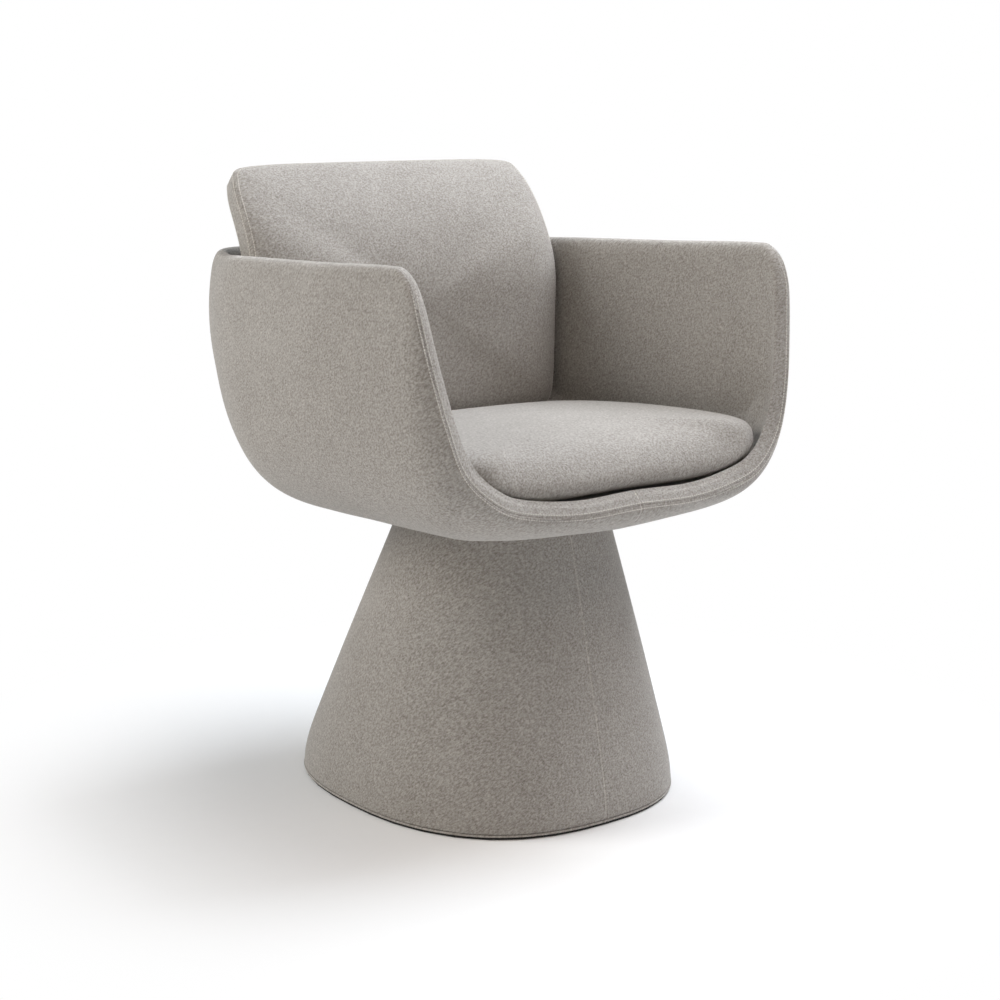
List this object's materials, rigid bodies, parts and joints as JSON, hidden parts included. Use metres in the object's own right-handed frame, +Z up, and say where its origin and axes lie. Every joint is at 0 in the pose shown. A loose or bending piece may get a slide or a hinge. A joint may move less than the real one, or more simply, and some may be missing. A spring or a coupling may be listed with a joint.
{
  "type": "pedestal swivel armchair",
  "caption": "Low upholstered bucket armchair on a flared upholstered pedestal, with a swivel seat, a fitted seat cushion and a tall leaning back pad.",
  "frame": {"origin": "on the floor, under the centre of the seat shell's overall box", "axes": "+Z up, the front of the chair towards -Y, +X to the side of the sitter's left arm"},
  "size_m": [0.6046, 0.6163, 0.7991],
  "materials": {
    "felt_outer": "matte",
    "felt_inner": "matte",
    "felt_cushion": "matte",
    "foam": "matte",
    "plywood": "matte",
    "moulding": "matte",
    "black_rubber": "matte",
    "black_steel": "satin",
    "zinc_steel": "satin",
    "bearing_polymer": "satin"
  },
  "bodies": {
    "pedestal": {"floor_sheet": "black_rubber", "base_plate": "black_steel", "column_foot_flange": "zinc_steel", "foot_bolt_1": "zinc_steel", "foot_bolt_2": "zinc_steel", "foot_bolt_3": "zinc_steel", "foot_bolt_4": "zinc_steel", "column_tube": "zinc_steel", "upper_bush": "bearing_polymer", "lower_bush": "bearing_polymer", "thrust_washer": "zinc_steel", "pedestal_former": "moulding", "pedestal_bottom_ring": "plywood", "pedestal_top_board": "plywood", "pedestal_cover": "felt_outer"},
    "seat": {"spindle": "zinc_steel", "retaining_ring": "black_steel", "seat_plate": "black_steel", "plate_bolt_1": "zinc_steel", "plate_bolt_2": "zinc_steel", "plate_bolt_3": "zinc_steel", "plate_bolt_4": "zinc_steel", "shell_core": "moulding", "shell_foam": "foam", "shell_outer_cover": "felt_outer", "shell_inner_cover": "felt_inner", "seat_board": "plywood", "seat_cushion": "felt_cushion", "back_board": "plywood", "back_spacer_left": "plywood", "back_spacer_right": "plywood", "back_pad": "felt_cushion"}
  },
  "joints": [
    {"name": "swivel", "type": "hinge", "parent": "pedestal", "child": "seat", "pos_m": [0, -0.04, 0], "axis": [0, 0, 1], "continuous": true}
  ]
}
